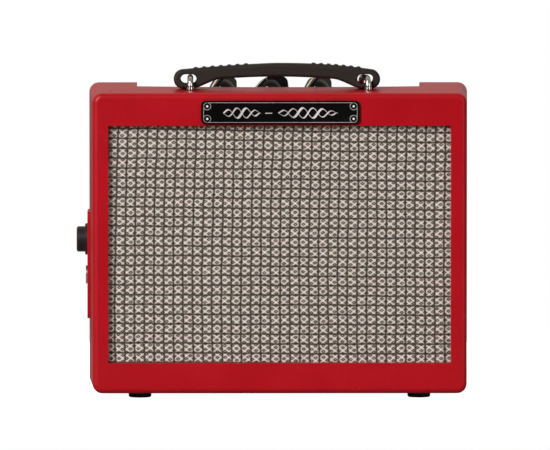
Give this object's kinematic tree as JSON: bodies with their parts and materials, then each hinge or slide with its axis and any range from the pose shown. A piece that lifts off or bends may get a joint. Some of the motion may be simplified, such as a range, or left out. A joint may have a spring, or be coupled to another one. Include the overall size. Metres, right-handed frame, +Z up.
{
  "type": "guitar amplifier",
  "caption": "Small portable guitar practice amplifier: moulded cabinet with cloth grille, strap handle, pointer knobs in a top rear trough, side sockets and rear battery door.",
  "frame": {"origin": "on the floor under the middle of the outer box", "axes": "+X to the right seen from the front, +Y from the grille to the rear, +Z up"},
  "size_m": [0.1798, 0.0774, 0.1518],
  "materials": {
    "red_plastic": "satin moulded",
    "black_plastic": "fine textured",
    "baffle": "stained hardboard",
    "cloth": "woven grille cloth",
    "plate": "glossy",
    "bright": "polished",
    "steel": "plated",
    "panel": "brushed",
    "led": "clear red",
    "knob": "glossy",
    "board": "solder mask",
    "chip": "moulded",
    "capacitor": "sleeved",
    "resistor": "lacquered",
    "gasket": "matte",
    "basket": "black painted",
    "suspension": "matte",
    "spider": "impregnated",
    "ferrite": "sintered",
    "terminal": "tinned lugs",
    "paper": "pressed paper",
    "copper": "enamelled wire",
    "battery_case": "printed",
    "lead": "insulated",
    "strap": "fine grain",
    "foot": "matte"
  },
  "bodies": {
    "housing": {"cabinet": "red_plastic", "socket_plate": "red_plastic", "rear_cover": "black_plastic", "rear_screws": "steel", "baffle_board": "baffle", "baffle_screws": "steel", "grille_cloth": "cloth", "nameplate": "plate", "nameplate_pins": "bright", "control_panel": "panel", "panel_screws": "bright", "power_led": "led", "volume_pot": "steel", "tone_pot": "steel", "drive_pot": "steel", "pot_washers": "steel", "pot_nuts": "steel", "main_board": "board", "board_screws": "steel", "amplifier_chip": "chip", "filter_capacitors": "capacitor", "resistors": "resistor", "speaker_gasket": "gasket", "speaker_frame": "basket", "speaker_surround": "suspension", "speaker_spider": "spider", "speaker_screws": "steel", "top_plate": "steel", "magnet_ring": "ferrite", "pole_yoke": "steel", "speaker_terminals": "terminal", "input_jack": "black_plastic", "input_jack_nut": "black_plastic", "headphone_jack": "black_plastic", "headphone_nut": "bright", "power_socket": "black_plastic", "battery": "battery_case", "battery_snap": "black_plastic", "battery_leads": "lead", "socket_leads": "lead", "speaker_leads": "lead", "handle_loops": "bright", "loop_ferrules": "bright", "loop_nuts": "steel", "feet": "foot"},
    "volume_control": {"volume_knob": "knob", "volume_shaft": "steel"},
    "tone_control": {"tone_knob": "knob", "tone_shaft": "steel"},
    "drive_control": {"drive_knob": "knob", "drive_shaft": "steel"},
    "handle_strap": {"handle": "strap"},
    "door": {"battery_door": "black_plastic"},
    "cone_assembly": {"speaker_cone": "paper", "dust_cap": "paper", "voice_coil": "copper"}
  },
  "joints": [
    {"name": "volume_turn", "type": "hinge", "parent": "housing", "child": "volume_control", "pos_m": [-0.02285, 0.02379, 0.13757], "axis": [0, 0.2588, 0.9659], "range_deg": [-289, 11]},
    {"name": "tone_turn", "type": "hinge", "parent": "housing", "child": "tone_control", "pos_m": [-0.00105, 0.02379, 0.13757], "axis": [0, 0.2588, 0.9659], "range_deg": [-262, 38]},
    {"name": "drive_turn", "type": "hinge", "parent": "housing", "child": "drive_control", "pos_m": [0.02075, 0.02379, 0.13757], "axis": [0, 0.2588, 0.9659], "range_deg": [-289, 11]},
    {"name": "handle_lift", "type": "slide", "parent": "housing", "child": "handle_strap", "axis": [0, 0, 1], "range_m": [0, 0.0008]},
    {"name": "door_swing", "type": "hinge", "parent": "housing", "child": "door", "pos_m": [0.00285, 0.0359, 0.0135], "axis": [-1, 0, 0], "range_deg": [0, 95]},
    {"name": "cone_travel", "type": "slide", "parent": "housing", "child": "cone_assembly", "axis": [0, 1, 0], "range_m": [-0.001, 0.001], "stiffness_N_per_m": 2000}
  ]
}
